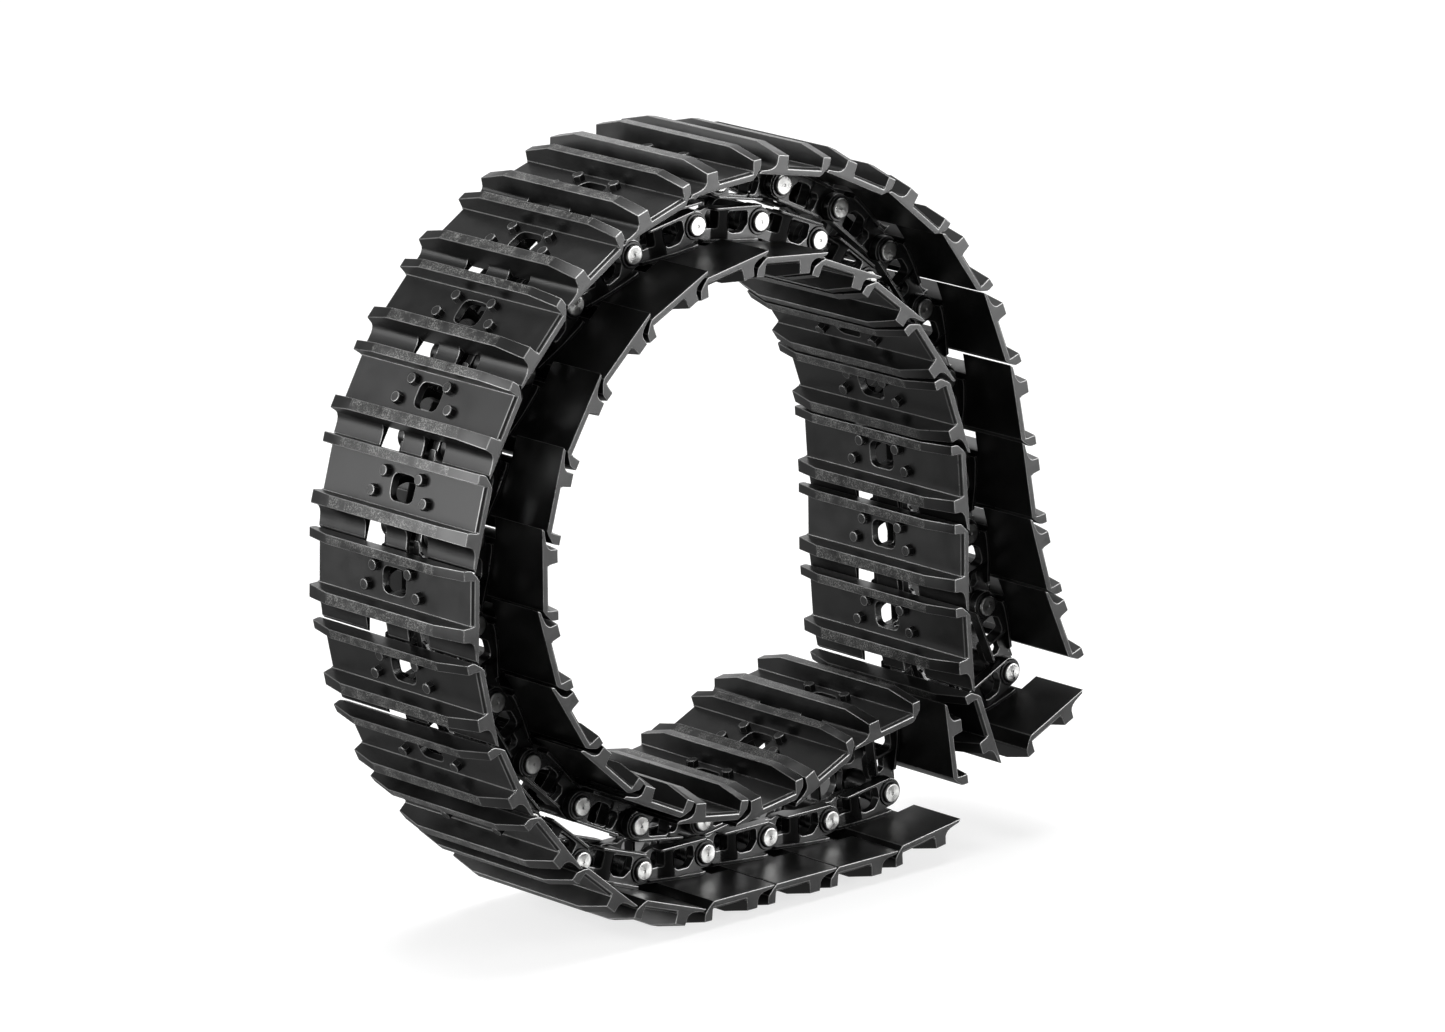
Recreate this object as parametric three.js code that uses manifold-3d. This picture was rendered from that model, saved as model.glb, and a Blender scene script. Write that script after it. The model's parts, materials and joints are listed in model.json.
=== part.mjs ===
// A steel track chain for a 1:14 model excavator: fifty links, each a double-grouser shoe on two
// side links, pinned into one endless loop. The loop lies folded flat, chain side to chain side,
// and the double strand is curled into a standing C.
import * as THREE from "three";
import { mergeVertices } from "three/addons/utils/BufferGeometryUtils.js";
import Module from "manifold-3d";

// ---- driving dimensions, in mm and degrees ----
const LINKS = 50;
const PITCH = 15;
const MASTER_LINK = 2; // the link that is taken apart into its pieces

const SHOE_WIDTH = 40.6;
const SHOE_INNER = 3.4; // height of the shoe's chain-side face over the pin row
const SHOE_OUTER = 4.95; // height of the plate's ground-side face
const GROUSER_TOP = 8.4;
const GROUSER_END = 6.85; // grouser height at the shoe's two ends
const END_SLOPE = 6.2; // length of the sloped ends of the grousers

const PIN_RADIUS = 1.87;
const PIN_LENGTH = 14.7;
const BORE_RADIUS = 2.12;
const BUSHING_RADIUS = 2.45;
const BOSS_RADIUS = 2.6; // round the pin
const FRONT_BOSS_RADIUS = 2.8; // round the bushing
const OUTBOARD = [4.8, 6.75]; // |y| of a side link round its pin
const INBOARD = [3.05, 4.55]; // |y| of a side link round its bushing
const RAIL_FACE = -2.85; // the face a track roller would run on
const RAIL_LENGTH = [-0.3, 10.9];

const TONGUE_HALF = 2.7; // the lip's tongue between the two notches
const NOTCH_HALF = 8.1;
const BOLT_ACROSS_FLATS = 2;
const BOLT_HEAD = 1.2;
const BOLT_ROWS = [[8.8, 4.6], [5.0, 6.75]]; // [distance along the link, |y|]
const HOLE_CENTRE = 6.6;
const GAP = 0.02; // between the separate pieces of the master link

// Bend at each pivot in degrees, plus toward the chain side: [first pivot, last pivot, bend].
// Pivots 1, 26 and 50 are left out: they are worked out so that the loop closes.
const FLAT_LINK = 3;
const LAY = [
  [2, 2, 8.3], [3, 4, 0], [5, 5, 18.1], [6, 6, 21], [7, 7, 10.6], [8, 10, 13.8], [11, 21, 14.2],
  [22, 22, 10.9], [23, 23, 1.2], [24, 25, -7], [27, 27, 93.2], [28, 28, 16.4], [29, 29, 4.3],
  [30, 30, -3.8], [31, 44, -16], [45, 48, -16.5], [49, 49, 15.4],
];

// ---- solids ----
const wasm = await Module();
wasm.setup();
const { Manifold, Mesh } = wasm;

function solid(geometry) {
  const bare = new THREE.BufferGeometry();
  bare.setAttribute("position", geometry.getAttribute("position"));
  if (geometry.index) bare.setIndex(geometry.index);
  const welded = mergeVertices(bare, 1e-5);
  return new Manifold(new Mesh({
    numProp: 3,
    vertProperties: new Float32Array(welded.getAttribute("position").array),
    triVerts: new Uint32Array(welded.index.array),
  }));
}

function geometryOf(body) {
  const mesh = body.getMesh();
  const geometry = new THREE.BufferGeometry();
  geometry.setAttribute("position", new THREE.BufferAttribute(mesh.vertProperties, 3));
  geometry.setIndex(new THREE.BufferAttribute(mesh.triVerts, 1));
  const flat = geometry.toNonIndexed();
  flat.computeVertexNormals();
  return flat;
}

const join = (...bodies) => bodies.reduce((a, b) => Manifold.union(a, b));
const cut = (body, ...tools) => tools.reduce((a, b) => Manifold.difference(a, b), body);

function shapeOf(points) {
  return new THREE.Shape(points.map(([x, y]) => new THREE.Vector2(x, y)));
}

// An outline of [along, outward] points, pulled across the track from y0 to y1.
function acrossPrism(points, y0, y1) {
  const body = new THREE.ExtrudeGeometry(shapeOf(points), { depth: y1 - y0, bevelEnabled: false });
  body.rotateX(Math.PI / 2);
  body.translate(0, y1, 0);
  return solid(body);
}

// An outline of [along, across] points, pulled outward from z0 to z1.
function outwardPrism(points, z0, z1) {
  const body = new THREE.ExtrudeGeometry(shapeOf(points), { depth: z1 - z0, bevelEnabled: false });
  body.translate(0, 0, z0);
  return solid(body);
}

// An outline of [across, outward] points, pulled along the track from x0 to x1.
function alongPrism(points, x0, x1) {
  const body = new THREE.ExtrudeGeometry(shapeOf(points), { depth: x1 - x0, bevelEnabled: false });
  const [x, y, z] = [0, 1, 2].map((i) => new THREE.Vector3().setComponent(i, 1));
  body.applyMatrix4(new THREE.Matrix4().makeBasis(y, z, x));
  body.translate(x0, 0, 0);
  return solid(body);
}

function box(x, y, z) {
  const body = new THREE.BoxGeometry(x[1] - x[0], y[1] - y[0], z[1] - z[0]);
  body.translate((x[0] + x[1]) / 2, (y[0] + y[1]) / 2, (z[0] + z[1]) / 2);
  return solid(body);
}

function rod(radius, y0, y1, along = 0, sides = 12) {
  const body = new THREE.CylinderGeometry(radius, radius, y1 - y0, sides);
  body.translate(along, (y0 + y1) / 2, 0);
  return solid(body);
}

// ---- the shoe ----
const SHOE_PROFILE = [
  [-3.45, SHOE_INNER], [10.5, SHOE_INNER], [12.4, 5.2], [12.7, GROUSER_TOP],
  [10.95, GROUSER_TOP], [10.65, SHOE_OUTER], [2.65, SHOE_OUTER], [2.45, GROUSER_TOP],
  [0.3, GROUSER_TOP], [-0.05, 5.3], [-1.3, 4.4], [-3.45, 3.95],
];

function grouserEnd(side) {
  const half = SHOE_WIDTH / 2;
  const wedge = [
    [half - END_SLOPE, GROUSER_TOP], [half, GROUSER_END], [half + 1, GROUSER_END],
    [half + 1, GROUSER_TOP + 1], [half - END_SLOPE, GROUSER_TOP + 1],
  ];
  return alongPrism(wedge.map(([y, z]) => [side * y, z]), -4, 16);
}

function mudHole(sides) {
  const [a, b, c] = [2.4, 3, 1.2];
  const corners = sides === 4 ? [[a, b], [-a, b], [-a, -b], [a, -b]] : [
    [a, b - c], [a - c, b], [c - a, b], [-a, b - c],
    [-a, c - b], [c - a, -b], [a - c, -b], [a, c - b],
  ];
  return outwardPrism(corners.map(([x, y]) => [x + HOLE_CENTRE, y]), 0, 9);
}

function makeShoe(holeSides = 8) {
  const half = SHOE_WIDTH / 2;
  return cut(
    acrossPrism(SHOE_PROFILE, -half, half),
    grouserEnd(1),
    grouserEnd(-1),
    box([-5, -0.1], [TONGUE_HALF, NOTCH_HALF], [2, 6]),
    box([-5, -0.1], [-NOTCH_HALF, -TONGUE_HALF], [2, 6]),
    mudHole(holeSides),
  );
}

// ---- the side links ----
function arc(centre, radius, from, to, steps) {
  return Array.from({ length: steps + 1 }, (_, i) => {
    const a = THREE.MathUtils.degToRad(from + ((to - from) * i) / steps);
    return [centre + radius * Math.cos(a), radius * Math.sin(a)];
  });
}

// The web's outline seen from the side: round the pin at 0, round the bushing at one pitch.
function webOutline(steps) {
  return [
    ...arc(0, BOSS_RADIUS, 90, 270, steps),
    ...arc(PITCH, FRONT_BOSS_RADIUS, -90, 90, steps),
    [12.2, SHOE_INNER], [1.6, SHOE_INNER],
  ];
}

// The web's course seen from above: outboard at the pin, inboard at the bushing.
function webCourse(side) {
  const [o0, o1] = OUTBOARD;
  const [i0, i1] = INBOARD;
  const course = [
    [-3, o0], [5.6, o0], [8.6, i0], [18, i0], [18, i1], [9.8, i1], [6.8, o1], [-3, o1],
  ];
  return course.map(([x, y]) => [x, side * y]);
}

const WINDOW = [[2.9, -2.1], [7.2, -2.1], [7.2, 0.9], [6.3, 1.6], [3.6, 1.6], [2.9, 0.7]];
const FRONT_WINDOW = [[8.6, -2.1], [11.1, -2.1], [11.4, 0.6], [8.6, 0.8]];

// The flat foot that the shoe is bolted to.
function foot(side) {
  const plan = [[0.9, 4.8], [5.6, 4.8], [8, 3.05], [12, 3.05], [12, 5.4], [6.4, 7.85], [0.9, 7.85]];
  return outwardPrism(plan.map(([x, y]) => [x, side * y]), SHOE_INNER - 0.7, SHOE_INNER);
}

const across = (side, [y0, y1]) => (side > 0 ? [y0, y1] : [-y1, -y0]);

const railOf = (side) => box(RAIL_LENGTH, across(side, [4.8, 7.2]), [RAIL_FACE, RAIL_FACE + 0.65]);

function makeSideLink(side) {
  const reach = across(side, [2, 8]);
  const web = Manifold.intersection(
    acrossPrism(webOutline(6), ...reach),
    outwardPrism(webCourse(side), -5, 5),
  );
  const opened = cut(web, acrossPrism(WINDOW, ...reach), acrossPrism(FRONT_WINDOW, ...reach));
  return join(opened, railOf(side), foot(side));
}

// The side link of a joined link: an outboard and an inboard plate that meet in the middle.
function makePlainSideLink(side) {
  const top = SHOE_INNER + 0.1;
  const rear = [
    ...arc(0, BOSS_RADIUS, 90, 240, 3), [-0.3, RAIL_FACE], [9, RAIL_FACE], [9, top], [1.6, top],
  ];
  const front = [
    [7, -2.3], ...arc(PITCH, FRONT_BOSS_RADIUS, -90, 90, 3), [12.2, SHOE_INNER], [11, top], [7, top],
  ];
  const window = [[2.9, -2], [6.4, -2], [6.4, 1.4], [2.9, 1.4]];
  return join(
    cut(
      acrossPrism(rear, ...across(side, [INBOARD[1], OUTBOARD[1]])),
      box([-3, 6.6], across(side, [4, OUTBOARD[0]]), [-3, 4]),
      acrossPrism(window, ...across(side, [4, 8])),
    ),
    acrossPrism(front, ...across(side, INBOARD)),
  );
}

// ---- small parts ----
function boltPlaces() {
  return BOLT_ROWS.flatMap(([x, y]) => [[x, y], [x, -y]]);
}

function makeBolt([x, y]) {
  const head = new THREE.CylinderGeometry(
    BOLT_ACROSS_FLATS / Math.sqrt(3), BOLT_ACROSS_FLATS / Math.sqrt(3), BOLT_HEAD, 6);
  head.rotateX(Math.PI / 2);
  head.translate(x, y, SHOE_OUTER + GAP + BOLT_HEAD / 2);
  const shank = new THREE.CylinderGeometry(0.5, 0.5, 2.5, 6);
  shank.rotateX(Math.PI / 2);
  shank.translate(x, y, SHOE_OUTER - 0.7);
  return join(solid(head), solid(shank));
}

function boltHole([x, y]) {
  const hole = new THREE.CylinderGeometry(0.56, 0.56, 4, 6);
  hole.rotateX(Math.PI / 2);
  hole.translate(x, y, SHOE_OUTER - 0.5);
  return solid(hole);
}

const makePin = () => rod(PIN_RADIUS, -PIN_LENGTH / 2, PIN_LENGTH / 2);

function makeBushing(reach) {
  return cut(rod(BUSHING_RADIUS, -reach, reach, PITCH), rod(BORE_RADIUS, -9, 9, PITCH));
}

// A whole link as one body: the pieces of the master link, pressed together and simplified.
function makeJoinedLink() {
  const pin = rod(PIN_RADIUS, -OUTBOARD[1], OUTBOARD[1], 0, 8);
  const tube = rod(BUSHING_RADIUS + 0.2, -INBOARD[0], INBOARD[0], PITCH, 6);
  const whole = join(makeShoe(4), makePlainSideLink(1), makePlainSideLink(-1), pin, tube);
  return cut(whole, rod(BORE_RADIUS + 0.18, -9, 9, PITCH, 6));
}

// ---- the lay of the chain ----
function bendAt(pivot) {
  const run = LAY.find(([first, last]) => pivot >= first && pivot <= last);
  return THREE.MathUtils.degToRad(run[2]);
}

// Pivot points of a run of links; headings[i] is the direction of link first + i.
function walk(start, headings) {
  const points = [start];
  for (const heading of headings) {
    const step = new THREE.Vector2(Math.cos(heading), Math.sin(heading)).multiplyScalar(PITCH);
    points.push(points.at(-1).clone().add(step));
  }
  return points;
}

// The loop is a triangle of three stiff runs: links 1 to 25, links 26 to 49, and link 50.
function layChain() {
  const outer = [];
  outer[FLAT_LINK] = Math.PI;
  for (let k = FLAT_LINK - 1; k >= 1; k--) outer[k] = outer[k + 1] + bendAt(k + 1);
  for (let k = FLAT_LINK + 1; k <= 25; k++) outer[k] = outer[k - 1] - bendAt(k);
  const outerPoints = walk(new THREE.Vector2(0, 0), outer.slice(1));

  const inner = [0];
  for (let k = 27; k <= 49; k++) inner.push(inner.at(-1) - bendAt(k));
  const chord = walk(new THREE.Vector2(0, 0), inner).at(-1);

  const far = outerPoints.at(-1);
  const side = far.length();
  const along = (side ** 2 + PITCH ** 2 - chord.length() ** 2) / (2 * side);
  const up = Math.sqrt(PITCH ** 2 - along ** 2);
  const u = far.clone().normalize();
  const apex = new THREE.Vector2(u.x * along - u.y * up, u.y * along + u.x * up);

  const turn = apex.clone().sub(far).angle() - chord.angle();
  const headings = [...outer.slice(1), ...inner.map((h) => h + turn), apex.clone().negate().angle()];
  return walk(new THREE.Vector2(0, 0), headings).slice(0, LINKS)
    .map((point, i) => ({ point, heading: headings[i] }));
}

// ---- the scene ----
const steel = (name, color, metalness, roughness) =>
  new THREE.MeshStandardMaterial({ name, color, metalness, roughness });
const black = steel("black_steel", 0x17181a, 0.8, 0.5);
const bright = steel("pin_steel", 0xb9b9b6, 1, 0.3);
const dark = steel("bolt_steel", 0x232427, 0.9, 0.4);

const number = (k) => String(k).padStart(2, "0");

function place(name, geometry, material, { point, heading }) {
  const mesh = new THREE.Mesh(geometry, material);
  mesh.name = name;
  mesh.position.set(point.x, 0, point.y);
  mesh.rotation.y = -heading;
  return mesh;
}

// The master link's pieces keep a hair of clearance, so that each is a body of its own.
function masterLinkPieces() {
  const bore = rod(PIN_RADIUS + GAP, -9, 9);
  const seat = rod(BUSHING_RADIUS + GAP, -INBOARD[1] - 1, INBOARD[1] + 1, PITCH);
  const holes = boltPlaces().map(boltHole);
  const room = box([-5, 20], [-21, 21], [SHOE_INNER - GAP, 12]);
  const side = (s) => geometryOf(cut(makeSideLink(s), bore, seat, room, ...holes));
  const pieces = [
    ["shoe", geometryOf(cut(makeShoe(), ...holes)), black],
    ["side_link_near", side(-1), black],
    ["side_link_far", side(1), black],
    ["bushing", geometryOf(makeBushing(INBOARD[1])), black],
    ["pin", geometryOf(makePin()), bright],
  ];
  boltPlaces().forEach((spot, i) => pieces.push([`bolt_${i + 1}`, geometryOf(makeBolt(spot)), dark]));
  return pieces;
}

const track = new THREE.Group();
track.name = "track_chain";
const lay = layChain();
const joined = geometryOf(makeJoinedLink());
lay.forEach((spot, i) => {
  const k = i + 1;
  if (k !== MASTER_LINK) track.add(place(`link_${number(k)}`, joined, black, spot));
});
for (const [name, geometry, material] of masterLinkPieces()) {
  track.add(place(`master_${name}`, geometry, material, lay[MASTER_LINK - 1]));
}

// The frame's origin is the middle of the bounding box's bottom face.
const bounds = new THREE.Box3().setFromObject(track, true);
const middle = bounds.getCenter(new THREE.Vector3());
track.children.forEach((mesh) => mesh.position.sub(new THREE.Vector3(middle.x, middle.y, bounds.min.z)));

export default track;
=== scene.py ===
"""The looks of a folded steel track chain: shoes, side links, bushings, pins and bolts on every link."""
import json
import math

import bmesh
import bpy
from mathutils import Matrix, Vector


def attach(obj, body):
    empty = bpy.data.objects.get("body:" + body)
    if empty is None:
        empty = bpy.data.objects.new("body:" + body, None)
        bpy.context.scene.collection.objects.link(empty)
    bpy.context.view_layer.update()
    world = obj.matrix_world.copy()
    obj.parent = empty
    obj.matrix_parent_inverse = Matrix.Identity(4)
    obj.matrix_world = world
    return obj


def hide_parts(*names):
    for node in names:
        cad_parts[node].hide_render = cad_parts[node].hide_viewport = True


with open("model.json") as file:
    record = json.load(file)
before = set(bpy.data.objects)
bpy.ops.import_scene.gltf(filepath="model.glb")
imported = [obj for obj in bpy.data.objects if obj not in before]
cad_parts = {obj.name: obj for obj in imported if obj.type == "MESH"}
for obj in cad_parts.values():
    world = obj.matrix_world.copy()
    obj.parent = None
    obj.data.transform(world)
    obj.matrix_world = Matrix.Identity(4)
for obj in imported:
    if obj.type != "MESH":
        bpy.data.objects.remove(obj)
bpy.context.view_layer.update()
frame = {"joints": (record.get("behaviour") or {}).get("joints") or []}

LINKS = 50
PITCH = 15.0  # mm from pin to pin, and every length below is in mm until a piece is placed
MASTER_LINK = 2
OPEN_PIVOT = 28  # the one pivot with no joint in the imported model
SLOTS = 3  # material slots of every prototype: body, rounded edges, worn tops

SHOE_WIDTH = 40.6
SHOE_INNER = 3.4
SHOE_OUTER = 4.95
GROUSER_TOP = 8.4
GROUSER_END = 6.85
END_SLOPE = 6.2
END_CHAMFER = 0.5
TONGUE_HALF, NOTCH_HALF = 2.7, 8.1
HOLE_CENTRE, HOLE_ALONG, HOLE_ACROSS, HOLE_ROUND = 6.6, 4.8, 6.0, 1.7

PIN_RADIUS, PIN_END = 1.87, 7.35
BUSHING_RADIUS, BUSHING_BORE = 2.45, 1.98
BOSS_RADIUS, BOSS_RING, FRONT_BOSS_RADIUS = 2.6, 2.42, 2.8
BOLT_RADIUS = 2 / math.sqrt(3)
BOLT_HEAD = 1.2
BOLTS = [(8.8, 4.6), (8.8, -4.6), (5.0, 6.75), (5.0, -6.75)]
TO_METRES = 0.001

# The studio, in metres and watts: each light's name, place, size and power.
FLOOR_REACH, FLOOR_DROP = 6.0, 0.0002
STUDIO_MIDDLE = (0, 0, 0.07)
WORLD_STRENGTH = 0.28
LIGHTS = [
    ("left_softbox", (-1.1, 0.45, 0.35), 0.9, 17),
    ("front_softbox", (0.95, -1.15, 0.25), 0.9, 24),
    ("top_softbox", (0.1, 0.1, 1.2), 0.8, 16),
    ("back_softbox", (1.1, 1.25, 0.5), 0.8, 2.2),
]
CAMERA_TARGET = (-0.002865, -0.00735, 0.069384)
CAMERA_SIDE = (-0.65349, -0.71284, 0.25458)  # from the target towards the camera
CAMERA_DISTANCE, CAMERA_LENS, CAMERA_SENSOR = 1.4715, 210.2, 36


# ---- solids, made of closed meshes in mm ----
def thing(name, bm):
    mesh = bpy.data.meshes.new(name)
    bmesh.ops.recalc_face_normals(bm, faces=bm.faces)
    bm.to_mesh(mesh)
    bm.free()
    for _ in range(SLOTS):
        mesh.materials.append(None)
    made = bpy.data.objects.new(name, mesh)
    bpy.context.scene.collection.objects.link(made)
    return made


def prism(outline, axis, low, high):
    """An outline pulled along one axis. Its points are the other two axes' values, in X, Y, Z order."""
    def spot(point, t):
        values = list(point)
        values.insert("xyz".index(axis), t)
        return values

    bm = bmesh.new()
    rings = [[bm.verts.new(spot(p, t)) for p in outline] for t in (low, high)]
    bm.faces.new(rings[0])
    bm.faces.new(reversed(rings[1]))
    for i in range(len(outline)):
        bm.faces.new((rings[0][i - 1], rings[1][i - 1], rings[1][i], rings[0][i]))
    return thing("prism", bm)


def block(x, y, z):
    return prism([(x[0], y[0]), (x[1], y[0]), (x[1], y[1]), (x[0], y[1])], "z", *z)


def lathe(profile, along=0.0, steps=48, closed=False):
    """A profile of (radius, across) points turned about a pin's axis."""
    bm = bmesh.new()
    rings = []
    for radius, y in profile:
        if radius < 1e-6:
            rings.append([bm.verts.new((along, y, 0))] * steps)
            continue
        angles = [2 * math.pi * i / steps for i in range(steps)]
        rings.append([bm.verts.new((along + radius * math.cos(a), y, radius * math.sin(a))) for a in angles])
    pairs = list(zip(rings, rings[1:] + rings[:1])) if closed else list(zip(rings, rings[1:]))
    for a, b in pairs:
        for i in range(steps):
            corners = [a[i - 1], a[i], b[i], b[i - 1]]
            corners = [v for j, v in enumerate(corners) if v not in corners[:j]]
            if len(corners) > 2:
                bm.faces.new(corners)
    return thing("lathe", bm)


def settle(body):
    """Makes what the modifiers show the mesh itself."""
    graph = bpy.context.evaluated_depsgraph_get()
    mesh = bpy.data.meshes.new_from_object(body.evaluated_get(graph))
    body.modifiers.clear()
    body.data = mesh
    return body


def combine(body, operation, *tools):
    for tool in tools:
        step = body.modifiers.new(operation, "BOOLEAN")
        step.object, step.operation, step.solver = tool, operation, "MANIFOLD"
        settle(body)
        bpy.data.objects.remove(tool)
    return body


def clean(body):
    """Joins coplanar faces and removes points on straight edges."""
    bm = bmesh.new()
    bm.from_mesh(body.data)
    bmesh.ops.remove_doubles(bm, verts=bm.verts, dist=2e-3)
    bmesh.ops.dissolve_limit(
        bm, angle_limit=math.radians(1), verts=bm.verts, edges=bm.edges, delimit={"MATERIAL"}
    )
    bm.to_mesh(body.data)
    bm.free()
    return body


def soften(body, width, angle=28, segments=2):
    """Rounds the edges. The rounded strips take the material slot after the body's own."""
    step = body.modifiers.new("bevel", "BEVEL")
    step.width, step.segments, step.limit_method = width, segments, "ANGLE"
    step.angle_limit, step.material = math.radians(angle), 1
    step.use_clamp_overlap = False
    step.miter_outer = "MITER_SHARP"
    return settle(body)


def shade(body, angle=34):
    for face in body.data.polygons:
        face.use_smooth = True
    body.data.set_sharp_from_angle(angle=math.radians(angle))
    body.modifiers.new("normals", "WEIGHTED_NORMAL").keep_sharp = True
    return settle(body)


def arc(cx, cy, radius, start, end, steps):
    angles = [math.radians(start + (end - start) * i / steps) for i in range(steps + 1)]
    return [(cx + radius * math.cos(a), cy + radius * math.sin(a)) for a in angles]


def rounded(outline, radius, steps=4):
    """The outline with its corners rounded. A corner may have its own radius, as a third value."""
    points = []
    for i, corner in enumerate(outline):
        here = Vector(corner[:2])
        r = corner[2] if len(corner) > 2 else radius
        before = Vector(outline[i - 1][:2]) - here
        after = Vector(outline[(i + 1) % len(outline)][:2]) - here
        half = before.angle(after) / 2
        reach = min(r / math.tan(half), 0.48 * before.length, 0.48 * after.length)
        if r <= 0 or reach < 0.02:
            points.append(tuple(here))
            continue
        a, b = here + before.normalized() * reach, here + after.normalized() * reach
        for j in range(steps + 1):
            t = j / steps
            points.append(tuple((1 - t) ** 2 * a + 2 * t * (1 - t) * here + t * t * b))
    return points


# ---- the shoe ----
LIP = [(-0.05, 5.35), (-0.3, 4.92), (-0.75, 4.56), (-1.4, 4.3), (-2.3, 4.14), (-3.5, 3.98)]
SHOE_PROFILE = [
    (-4.05, SHOE_INNER), (10.45, SHOE_INNER), (11.2, 3.95), (12.4, 5.2), (12.55, 5.8), (12.7, GROUSER_TOP),
    (10.95, GROUSER_TOP), (10.68, SHOE_OUTER), (2.62, SHOE_OUTER), (2.45, GROUSER_TOP), (0.3, GROUSER_TOP),
    *LIP,
]


def grouser_end(side):
    half = SHOE_WIDTH / 2
    wedge = [
        (half - END_SLOPE, GROUSER_TOP), (half, GROUSER_END), (half + 1, GROUSER_END),
        (half + 1, GROUSER_TOP + 1), (half - END_SLOPE, GROUSER_TOP + 1),
    ]
    return prism([(side * y, z) for y, z in wedge], "x", -4, 14)


def end_chamfer(side):
    """The bevel along the plate's end, between the grousers."""
    half = SHOE_WIDTH / 2
    top = SHOE_OUTER + 0.02
    corner = [(half - END_CHAMFER, top), (half + 0.1, top), (half + 0.1, top - END_CHAMFER - 0.1)]
    return prism([(side * y, z) for y, z in corner], "x", 2.75, 10.6)


def make_shoe():
    half = SHOE_WIDTH / 2
    hole = rounded([
        (HOLE_CENTRE - HOLE_ALONG / 2, -HOLE_ACROSS / 2), (HOLE_CENTRE + HOLE_ALONG / 2, -HOLE_ACROSS / 2),
        (HOLE_CENTRE + HOLE_ALONG / 2, HOLE_ACROSS / 2), (HOLE_CENTRE - HOLE_ALONG / 2, HOLE_ACROSS / 2),
    ], HOLE_ROUND, 6)
    shoe = prism(SHOE_PROFILE, "y", -half, half)
    tools = [grouser_end(1), grouser_end(-1), end_chamfer(1), end_chamfer(-1), prism(hole, "z", 2, 6)]
    for side in (1, -1):
        tools.append(block((-5, -0.05), sorted((side * TONGUE_HALF, side * NOTCH_HALF)), (2, 6)))
    combine(shoe, "DIFFERENCE", *tools)
    soften(clean(shoe), 0.13)
    for face in shoe.data.polygons:
        if face.normal.z > 0.985 and face.center.z > GROUSER_TOP - 0.05:
            face.material_index = 2
    return shade(shoe)


# ---- the side links ----
def joggle(near_face):
    """The web's face seen from above: outboard round the pin, inboard round the bushing."""
    outer, inner, start = (6.45, 4.55, 7.0) if near_face else (4.8, 3.05, 5.8)
    points = [(-3.2, outer)]
    for i in range(9):
        t = i / 8
        points.append((start + 2.7 * t, outer + (inner - outer) * t * t * (3 - 2 * t)))
    return points + [(18.2, inner)]


WEB_TOP = SHOE_INNER - 0.03
WINDOW = [(2.75, -2.1, 0.6), (7.3, -2.1, 0.6), (7.3, 1.75, 1.5), (3.9, 1.75, 1.2), (2.6, 0.2, 1.0)]
FRONT_WINDOW = [(8.55, -2.15, 0.4), (10.9, -2.15, 0.8), (11.45, 0.2, 0.8), (10.9, 1.0, 0.5), (8.55, 1.0, 0.5)]
RAIL = [(-0.35, 4.75, 0.2), (10.95, 4.75, 0.2), (10.95, 7.0, 0.7), (-0.35, 7.0, 0.7)]
FOOT = [
    (0.9, 4.85, 0.2), (5.8, 4.85, 0.2), (8.6, 3.1, 0.2), (14.2, 3.1, 0.4), (14.2, 4.5, 0.4), (12.3, 4.6, 0.2),
    (11.9, 5.3, 0.3), (6.4, 7.0, 0.6), (2.2, 7.85, 0.6), (0.9, 7.85, 0.4),
]


def make_side_link(side):
    """The web, boss ring, rail and foot. Each is rounded by itself before they are joined."""
    def flip(points):
        return [(x, side * y) for x, y in points]

    reach = sorted((side * 2, side * 8))
    outline = [
        *arc(0, 0, BOSS_RADIUS, 90, 262, 20), (0.6, -2.8), (10.9, -2.8), (12.3, -2.25),
        *arc(PITCH, 0, FRONT_BOSS_RADIUS, -112, 90, 22), (13.6, 3.05), (12.4, WEB_TOP), (1.7, WEB_TOP),
        (1.2, 2.7),
    ]
    link = prism(outline, "y", *reach)
    course = joggle(True) + joggle(False)[::-1]
    combine(link, "INTERSECT", prism(flip(course), "z", -5, 5))
    combine(
        link, "DIFFERENCE",
        prism(rounded(WINDOW, 0.5, 6), "y", *reach),
        prism(rounded(FRONT_WINDOW, 0.5, 5), "y", *reach),
    )
    soften(clean(link), 0.14)
    rail = prism(flip(rounded(RAIL, 0.5, 5)), "z", -2.94, -2.5)
    foot = prism(flip(rounded(FOOT, 0.3, 4)), "z", 2.72, WEB_TOP - 0.02)
    boss = [(0, 6.0), (BOSS_RING, 6.0), (BOSS_RING, 6.62), (BOSS_RING - 0.13, 6.75), (0, 6.75)]
    combine(
        link, "UNION", soften(rail, 0.1), soften(foot, 0.1),
        lathe([(r, side * y) for r, y in boss], steps=44),
    )
    pin_bore, bushing_seat = PIN_RADIUS + 0.07, BUSHING_RADIUS + 0.03
    combine(
        link, "DIFFERENCE",
        lathe([(0, -9), (pin_bore, -9), (pin_bore, 9), (0, 9)], steps=44),
        lathe([(0, -9), (bushing_seat, -9), (bushing_seat, 9), (0, 9)], along=PITCH, steps=44),
    )
    return shade(link)


# ---- turned and small parts ----
def make_pin():
    """A pin with a small centre mark and a rounded rim at both ends."""
    end = [(0, PIN_END - 0.12), (0.16, PIN_END - 0.12), (0.3, PIN_END - 0.02), (1.5, PIN_END)]
    end += [(1.62, PIN_END - 0.01)]
    end += [(1.75, PIN_END - 0.07), (1.84, PIN_END - 0.17), (PIN_RADIUS, PIN_END - 0.3)]
    return shade(lathe(end + [(r, -y) for r, y in reversed(end)], steps=56), 30)


def make_bushing():
    r, b, y = BUSHING_RADIUS, BUSHING_BORE, 4.56
    ring = [(b, -y + 0.1), (b + 0.1, -y), (r - 0.1, -y), (r, -y + 0.1)]
    ring += [(rr, -yy) for rr, yy in reversed(ring)]
    return shade(lathe(ring, along=PITCH, steps=48, closed=True))


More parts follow.
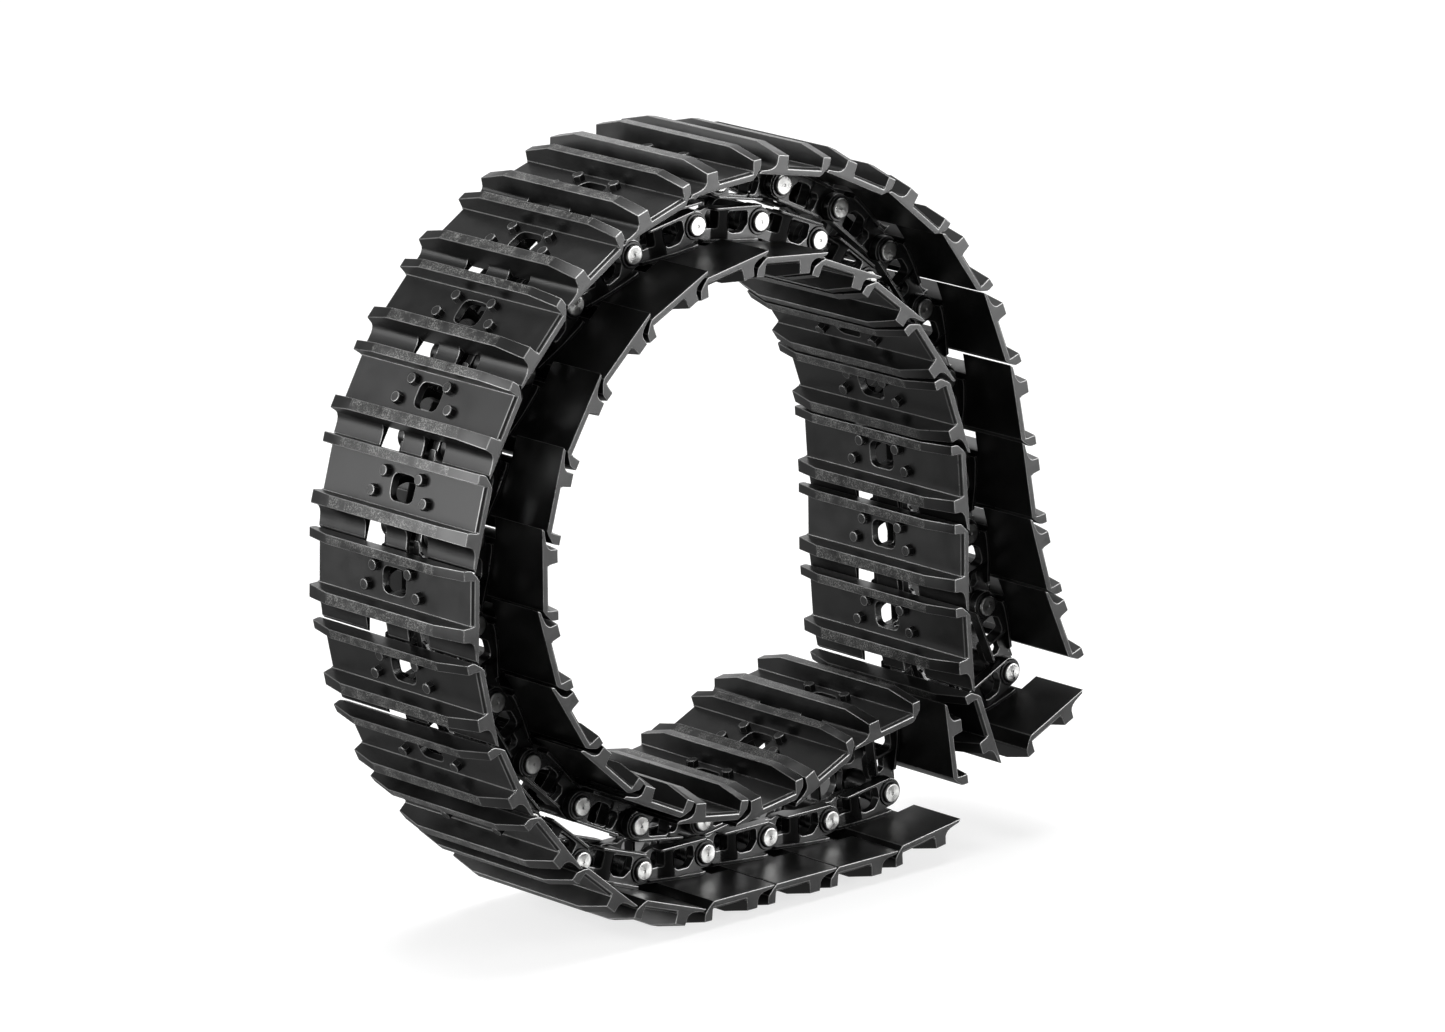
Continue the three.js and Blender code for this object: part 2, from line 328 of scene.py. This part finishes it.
def make_bolts():
    """Four hexagon heads with turned tops."""
    bm = bmesh.new()
    for along, across in BOLTS:
        def ring(radius, z, count, turn=0.0):
            angles = [turn + 2 * math.pi * i / count for i in range(count)]
            points = [(along + radius * math.cos(a), across + radius * math.sin(a), z) for a in angles]
            return [bm.verts.new(point) for point in points]

        low = SHOE_OUTER - 0.02
        head = ring(BOLT_RADIUS, low, 6) + ring(BOLT_RADIUS, low + BOLT_HEAD - 0.22, 6)
        head += ring(0.97, low + BOLT_HEAD - 0.06, 24) + ring(0.86, low + BOLT_HEAD, 24)
        bmesh.ops.convex_hull(bm, input=head)
    bmesh.ops.dissolve_limit(bm, angle_limit=math.radians(2), verts=bm.verts, edges=bm.edges)
    bolts = thing("bolts", bm)
    return shade(soften(bolts, 0.06, 25))


# ---- materials ----
class Nodes:
    """A short way to write a material's nodes."""

    def __init__(self, name):
        self.material = bpy.data.materials.new(name)
        self.material.use_nodes = True
        self.tree = self.material.node_tree
        self.shader = self.tree.nodes["Principled BSDF"]

    def add(self, kind, sockets=None, **settings):
        node = self.tree.nodes.new("ShaderNode" + kind)
        for key, value in settings.items():
            setattr(node, key, value)
        for key, value in (sockets or {}).items():
            if isinstance(value, bpy.types.NodeSocket):
                self.tree.links.new(value, node.inputs[key])
            else:
                node.inputs[key].default_value = value
        return node

    def wire(self, source, socket):
        self.tree.links.new(source, self.shader.inputs[socket])

    def ramp(self, source, stops):
        node = self.add("ValToRGB", {"Fac": source})
        for i, (place, value) in enumerate(stops):
            stop = node.color_ramp.elements[i] if i < 2 else node.color_ramp.elements.new(place)
            stop.position = place
            stop.color = (*value, 1) if isinstance(value, tuple) else (value, value, value, 1)
        return node.outputs["Color"]

    def own_place(self):
        """Coordinates in metres on the piece, moved by a different amount on each link."""
        place = self.add("TexCoord").outputs["Object"]
        chance = self.add("ObjectInfo").outputs["Random"]
        far = self.add("VectorMath", {0: (3.1, 1.7, 2.3), "Scale": chance}, operation="SCALE").outputs[0]
        return self.add("VectorMath", {0: place, 1: far}, operation="ADD").outputs[0]

    def noise(self, place, scale, detail=3.0, rough=0.55):
        sockets = {"Vector": place, "Scale": scale, "Detail": detail, "Roughness": rough}
        return self.add("TexNoise", sockets).outputs["Fac"]


def black_steel(name, base, light, roughness, worn=0.0, metal=0.0):
    """Black-oxide steel: fine blasted grain, soft blotches, and worn specks where worn is over 0."""
    n = Nodes(name)
    place = n.own_place()
    blotch = n.noise(place, 190, 4)
    grain = n.noise(place, 3800, 2)
    colour = n.ramp(blotch, [(0.3, base), (0.72, light)])
    spread = {"Value": blotch, 1: 0.3, 2: 0.7, 3: roughness - 0.05, 4: roughness + 0.06}
    rough = n.add("MapRange", spread).outputs[0]
    if worn:
        patch = n.ramp(n.noise(place, 320, 3, 0.6), [(0.38, 0.0), (0.56, 1.0)])
        speck = n.ramp(n.noise(place, 3600, 5, 0.85), [(0.5, 0.0), (0.6, 1.0)])
        mask = n.add("Math", {0: patch, 1: speck}, operation="MULTIPLY").outputs[0]
        mask = n.add("Math", {0: mask, 1: worn}, operation="MULTIPLY").outputs[0]
        mixed = n.add("Mix", {0: mask, 6: colour, 7: (0.34, 0.34, 0.33, 1)}, data_type="RGBA")
        colour = mixed.outputs[2]
    n.wire(colour, "Base Color")
    n.wire(rough, "Roughness")
    bump = n.add("Bump", {"Height": grain, "Strength": 0.16, "Distance": 0.00006})
    n.wire(bump.outputs[0], "Normal")
    n.shader.inputs["Specular IOR Level"].default_value = 0.5
    n.shader.inputs["Metallic"].default_value = metal
    return n.material


def pin_steel():
    """Faced steel: fine rings about the pin's axis, which spread the light into two bright fans."""
    n = Nodes("pin_steel")
    place = n.add("TexCoord").outputs["Object"]
    split = n.add("SeparateXYZ", {0: place}).outputs
    flat = n.add("CombineXYZ", {0: split[0], 1: split[2]}).outputs[0]
    radius = n.add("VectorMath", {0: flat}, operation="LENGTH").outputs["Value"]
    turning = n.add("Math", {0: radius, 1: 52000.0}, operation="MULTIPLY").outputs[0]
    rings = n.add("Math", {0: turning}, operation="SINE").outputs[0]
    blotch = n.noise(n.own_place(), 900, 3)
    n.wire(n.ramp(blotch, [(0.3, (0.33, 0.33, 0.325)), (0.75, (0.5, 0.5, 0.49))]), "Base Color")
    rough = n.add("MapRange", {"Value": blotch, 1: 0.3, 2: 0.7, 3: 0.26, 4: 0.36}).outputs[0]
    n.wire(rough, "Roughness")
    n.shader.inputs["Metallic"].default_value = 1.0
    n.shader.inputs["Anisotropic"].default_value = 0.7
    tangent = n.add("Tangent", direction_type="RADIAL", axis="Y").outputs[0]
    n.wire(tangent, "Tangent")
    bump = n.add("Bump", {"Height": rings, "Strength": 0.1, "Distance": 0.00002})
    n.wire(bump.outputs[0], "Normal")
    return n.material


def pale_studio(name, glow, lit):
    """A plain pale surface that mostly glows, so that the shadow on it stays faint."""
    n = Nodes(name)
    place = n.add("TexCoord").outputs["Object"]
    n.wire(n.ramp(n.noise(place, 3, 2), [(0.3, lit), (0.7, lit * 0.97)]), "Base Color")
    n.shader.inputs["Roughness"].default_value = 0.9
    n.shader.inputs["Specular IOR Level"].default_value = 0.1
    n.shader.inputs["Emission Color"].default_value = (1, 1, 1, 1)
    n.shader.inputs["Emission Strength"].default_value = glow
    return n.material


PAINT = black_steel("black_steel", 0.0045, 0.0075, 0.33)
# Rounded edge strips: the worn specks are real edge wear, but their much lighter, metallic base colour is a
# painted highlight that stands in for light glinting along the edges.
EDGE_WEAR_AND_HIGHLIGHT = black_steel("edge_wear_and_painted_highlight", 0.13, 0.26, 0.30, 0.6, metal=0.6)
WORN = black_steel("worn_steel", 0.012, 0.034, 0.32, 0.75, metal=0.2)
BOLT = black_steel("bolt_steel", 0.012, 0.022, 0.28)
LINK = black_steel("link_steel", 0.0035, 0.007, 0.30)
PIN = pin_steel()


# ---- the chain ----
def pivot_places():
    """Each pivot's place as (x, z) in mm.

    The open pivot is one pitch from both its neighbours, on the side towards the curl's middle.
    """
    places = {int(j["name"][-2:]): Vector((j["pos_m"][0], j["pos_m"][2])) * 1000 for j in frame["joints"]}
    before, after = places[OPEN_PIVOT - 1], places[OPEN_PIVOT + 1]
    gap = after - before
    square = Vector((gap.y, -gap.x)).normalized() * math.sqrt(PITCH ** 2 - gap.length_squared / 4)
    middle = sum(places.values(), Vector((0, 0))) / len(places)
    centre = (before + after) / 2
    places[OPEN_PIVOT] = min((centre + square, centre - square), key=lambda p: (p - middle).length)
    return places


def link_frame(places, k):
    """A link's own frame: its pivot at the origin, and the next pivot along X."""
    here, there = places[k], places[k % LINKS + 1]
    x, z = (there - here).normalized()
    across, up = here * TO_METRES
    return Matrix(((x, 0, -z, across), (0, 1, 0, 0), (z, 0, x, up), (0, 0, 0, 1)))


def finished(body, *materials):
    """The mesh of a prototype, in metres, with its materials."""
    body.data.transform(Matrix.Scale(TO_METRES, 4))
    mesh = body.data
    for i, material in enumerate(materials):
        mesh.materials[i] = material
    while len(mesh.materials) > len(materials):
        mesh.materials.pop()
    bpy.data.objects.remove(body)
    return mesh


def build_chain():
    """Six pieces on every link. A kind has its mesh, its finish and the master link's nodes."""
    kinds = {
        "shoe": (finished(make_shoe(), PAINT, EDGE_WEAR_AND_HIGHLIGHT, WORN), "black_steel", ["master_shoe"]),
        "side_link_near": (
            finished(make_side_link(-1), LINK, EDGE_WEAR_AND_HIGHLIGHT), "black_steel", ["master_side_link_near"]
        ),
        "side_link_far": (
            finished(make_side_link(1), LINK, EDGE_WEAR_AND_HIGHLIGHT), "black_steel", ["master_side_link_far"]
        ),
        "bushing": (finished(make_bushing(), LINK), "black_steel", ["master_bushing"]),
        "pin": (finished(make_pin(), PIN), "pin_steel", ["master_pin"]),
        "bolts": (
            finished(make_bolts(), BOLT, EDGE_WEAR_AND_HIGHLIGHT), "bolt_steel", [f"master_bolt_{i}" for i in (1, 2, 3, 4)]
        ),
    }
    places = pivot_places()
    for k in range(1, LINKS + 1):
        at = link_frame(places, k)
        for kind, (mesh, slot, nodes) in kinds.items():
            piece = bpy.data.objects.new(f"{kind}_{k:02d}", mesh)
            bpy.context.scene.collection.objects.link(piece)
            piece.matrix_world = at
            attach(piece, f"link_{k:02d}")
            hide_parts(*(nodes if k == MASTER_LINK else [f"link_{k:02d}"]))


# ---- the studio ----
def area_light(name, place, size, power):
    data = bpy.data.lights.new(name, "AREA")
    data.shape, data.size, data.energy = "SQUARE", size, power
    lamp = bpy.data.objects.new(name, data)
    lamp.location = place
    lamp.rotation_euler = (Vector(STUDIO_MIDDLE) - Vector(place)).to_track_quat("-Z", "Y").to_euler()
    bpy.context.scene.collection.objects.link(lamp)


def stage_set(name, bm, glow, lit):
    """A floor or backdrop, there for the eye: it throws no light or shadow on the chain."""
    made = thing(name, bm)
    made.data.materials.clear()
    made.data.materials.append(pale_studio(f"pale_{name}", glow, lit))
    made.visible_diffuse = made.visible_glossy = made.visible_shadow = False
    return made


def build_studio():
    grid = bmesh.new()
    bmesh.ops.create_grid(grid, x_segments=4, y_segments=4, size=FLOOR_REACH)
    stage_set("floor", grid, 0.72, 0.35).location.z = -FLOOR_DROP
    dome = bmesh.new()
    bmesh.ops.create_icosphere(dome, subdivisions=4, radius=FLOOR_REACH)
    stage_set("backdrop", dome, 0.9, 0.1)
    world = bpy.data.worlds.new("studio")
    bpy.context.scene.world = world
    world.use_nodes = True
    background = world.node_tree.nodes["Background"]
    background.inputs["Color"].default_value = (1, 1, 1, 1)
    background.inputs["Strength"].default_value = WORLD_STRENGTH
    for light in LIGHTS:
        area_light(*light)


def build_camera():
    data = bpy.data.cameras.new("camera")
    data.sensor_fit, data.sensor_width, data.lens = "HORIZONTAL", CAMERA_SENSOR, CAMERA_LENS
    data.clip_start, data.clip_end = 0.05, 50
    camera = bpy.data.objects.new("camera", data)
    bpy.context.scene.collection.objects.link(camera)
    away = Vector(CAMERA_SIDE).normalized()
    camera.location = Vector(CAMERA_TARGET) + away * CAMERA_DISTANCE
    camera.rotation_euler = (-away).to_track_quat("-Z", "Y").to_euler()
    bpy.context.scene.camera = camera


build_camera()
build_studio()
build_chain()
bpy.context.scene.view_settings.view_transform = "Standard"
